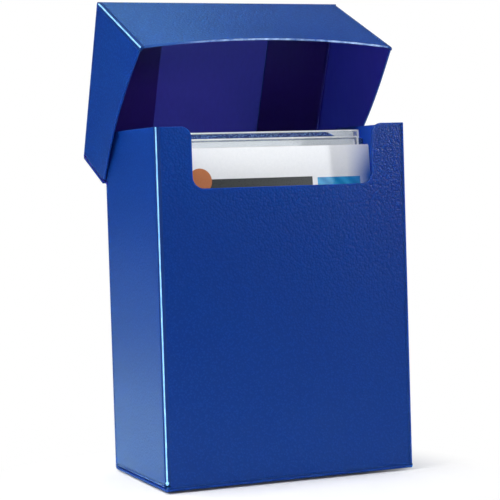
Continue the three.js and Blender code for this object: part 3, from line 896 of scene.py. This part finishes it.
studio = {"floorLow": (-1.2, -0.42, -0.0005), "floorHigh": (1.2, 1.6, -0.0005), "cells": 8,
          "pale": "f0f1f4", "seen": 0.75, "shadeAt": (-0.014, -0.016, 0), "shadeNear": 0.035,
          "shadeFar": 0.075, "mirroredNear": "bce8ee", "mirroredFar": "9cc4cc", "near": 0.25, "far": 0.60,
          "mirroredSky": "d0f8ff", "horizon": 0.07, "zenith": 0.60, "rise": (0.3, 0.85)}
lampAim = (0, 0, 0.06)  # for lamps without an aim of their own
lamps = {
    "key_softbox": {"at": (-0.30, -0.62, 1.00), "size": (0.7, 0.7), "power": 3.1},
    "overhead_softbox": {"at": (-0.30, 0.05, 0.85), "size": (0.4, 0.4), "power": 0.95,
                         "spread": 70, "aim": (-0.25, 0, 0)},  # the floor at the left
    "left_softbox": {"at": (-0.50, -0.10, 0.30), "size": (0.3, 0.3), "power": 0.34,
                     "spread": 50, "aim": (-0.06, 0, -0.02)},  # the foot of the left side
    "front_fill": {"at": (-0.30, -1.00, 0.15), "size": (0.4, 0.3), "power": 1.9},
    "right_softbox": {"at": (0.72, -0.99, 0.25), "size": (0.14, 0.14),
                      "power": 3.7},  # sparkle at the upper right of the front
    "lid_softbox": {"at": (0.25, 0.90, 0.89), "size": (0.36, 0.24), "power": 0.30,
                    "tint": "94ecff"},  # sheen on the lid's front
    "rim_softbox": {"at": (1.05, 0.10, 0.25), "size": (0.4, 0.4), "power": 10.0, "mirrored": False},
    "back_softbox": {"at": (0.45, 0.95, 0.12), "size": (0.4, 0.2), "power": 4.2, "mirrored": False},
}


def paleFloor(look):
    bm = bmesh.new()
    bmesh.ops.create_grid(bm, x_segments=look["cells"], y_segments=look["cells"], size=0.5)
    scaleAndMove(bm, Vector(look["floorLow"]), Vector(look["floorHigh"]))
    mesh = bpy.data.meshes.new("studio_floor")
    bm.to_mesh(mesh)
    bm.free()
    finish, tree, coords = startFinish("matt_white_paper")
    rays = addNode(tree, "ShaderNodeLightPath")
    mirrored = addNode(tree, "ShaderNodeMath", {
        0: rays.outputs["Is Glossy Ray"], 1: rays.outputs["Is Transmission Ray"]}, operation="MAXIMUM")
    seenPale = [channel * look["seen"] for channel in srgb(look["pale"])[:3]]
    plain = addNode(tree, "ShaderNodeMix", {
        0: rays.outputs["Is Glossy Ray"],
        6: srgb(look["pale"]), 7: srgb(look["mirroredNear"])}, data_type="RGBA")
    colour = addNode(tree, "ShaderNodeMix", {
        0: rays.outputs["Is Camera Ray"], 6: plain.outputs[2], 7: (*seenPale, 1.0)}, data_type="RGBA")
    near = addNode(tree, "ShaderNodeBsdfDiffuse", {"Color": colour.outputs[2]})
    bright = addNode(tree, "ShaderNodeMix", {
        0: rays.outputs["Is Glossy Ray"],
        6: (1, 1, 1, 1), 7: srgb(look["mirroredFar"])}, data_type="RGBA")
    white = addNode(tree, "ShaderNodeEmission", {"Color": bright.outputs[2], "Strength": 1.0})
    away = addNode(tree, "ShaderNodeVectorMath", {0: coords}, operation="LENGTH")
    shaded = addNode(tree, "ShaderNodeVectorMath", {0: coords, 1: look["shadeAt"]}, operation="DISTANCE")
    parts = []
    for ray, distance, start, stop in (
            (rays.outputs["Is Camera Ray"], shaded, "shadeNear", "shadeFar"),
            (mirrored.outputs[0], away, "near", "far")):
        fade = addNode(tree, "ShaderNodeMapRange", {
            "Value": distance.outputs["Value"], "From Min": look[start], "From Max": look[stop]},
            interpolation_type="SMOOTHSTEP")
        parts.append(addNode(tree, "ShaderNodeMath", {
            0: fade.outputs["Result"], 1: ray}, operation="MULTIPLY"))
    part = addNode(tree, "ShaderNodeMath", {
        0: parts[0].outputs[0], 1: parts[1].outputs[0]}, operation="ADD")
    surface = addNode(tree, "ShaderNodeMixShader", {
        0: part.outputs[0], 1: near.outputs[0], 2: white.outputs[0]})
    addNode(tree, "ShaderNodeOutputMaterial", {"Surface": surface.outputs[0]})
    mesh.materials.append(finish)
    floor = bpy.data.objects.new("studio_floor", mesh)
    scene.collection.objects.link(floor)


def surround(look):
    world = bpy.data.worlds.new("studio_surround")
    scene.world = world
    world.use_nodes = True
    tree = world.node_tree
    tree.nodes.clear()
    rays = addNode(tree, "ShaderNodeLightPath")
    seen = addNode(tree, "ShaderNodeMath", {
        0: rays.outputs["Is Camera Ray"], 1: rays.outputs["Is Transmission Ray"]}, operation="MAXIMUM")
    ways = addNode(tree, "ShaderNodeTexCoord")
    height = addNode(tree, "ShaderNodeSeparateXYZ", {0: ways.outputs["Generated"]})
    grey = addNode(tree, "ShaderNodeMapRange", {
        "Value": height.outputs["Z"], "From Min": look["rise"][0], "From Max": look["rise"][1],
        "To Min": look["horizon"], "To Max": look["zenith"]}, interpolation_type="SMOOTHSTEP")
    level = addNode(tree, "ShaderNodeMapRange", {
        "Value": seen.outputs[0], "To Min": grey.outputs["Result"], "To Max": 1.0})
    colour = addNode(tree, "ShaderNodeMix", {
        0: rays.outputs["Is Glossy Ray"],
        6: (1, 1, 1, 1), 7: srgb(look["mirroredSky"])}, data_type="RGBA")
    sky = addNode(tree, "ShaderNodeBackground", {
        "Color": colour.outputs[2], "Strength": level.outputs["Result"]})
    addNode(tree, "ShaderNodeOutputWorld", {"Surface": sky.outputs[0]})


paleFloor(studio)
surround(studio)
for name, look in lamps.items():
    lamp = bpy.data.lights.new(name, "AREA")
    lamp.shape = "RECTANGLE"
    lamp.size, lamp.size_y = look["size"]
    lamp.energy = look["power"]
    lamp.spread = math.radians(look.get("spread", 180))
    lamp.color = srgb(look.get("tint", "ffffff"))[:3]
    lampObject = bpy.data.objects.new(name, lamp)
    lampObject.location = look["at"]
    beam = Vector(look.get("aim", lampAim)) - Vector(look["at"])
    lampObject.rotation_euler = beam.to_track_quat("-Z", "Y").to_euler()
    lampObject.visible_camera = False
    lampObject.visible_glossy = look.get("mirrored", True)
    scene.collection.objects.link(lampObject)
print("studio lit")

# The camera stands in front, to the left, below the rim, and is tilted a little.
# Millimetres, the clipping in metres.

view = {"lens": 125.89, "sensor": 36.0, "clip": (0.02, 20.0), "at": (-184.21, -451.31, 81.87),
        "rightward": (0.92612, -0.37597, -0.03078), "upward": (0.0443, 0.02738, 0.99864),
        "backward": (-0.37462, -0.92623, 0.042)}
lens = bpy.data.cameras.new("photo_camera")
lens.lens = view["lens"]
lens.sensor_width = view["sensor"]
lens.clip_start, lens.clip_end = view["clip"]
camera = bpy.data.objects.new("photo_camera", lens)
turn = Matrix((view["rightward"], view["upward"], view["backward"])).transposed()
camera.matrix_world = Matrix.Translation(Vector(view["at"]) * mm) @ turn.to_4x4()
scene.collection.objects.link(camera)
scene.camera = camera
scene.view_settings.view_transform = "Standard"
print("camera placed")
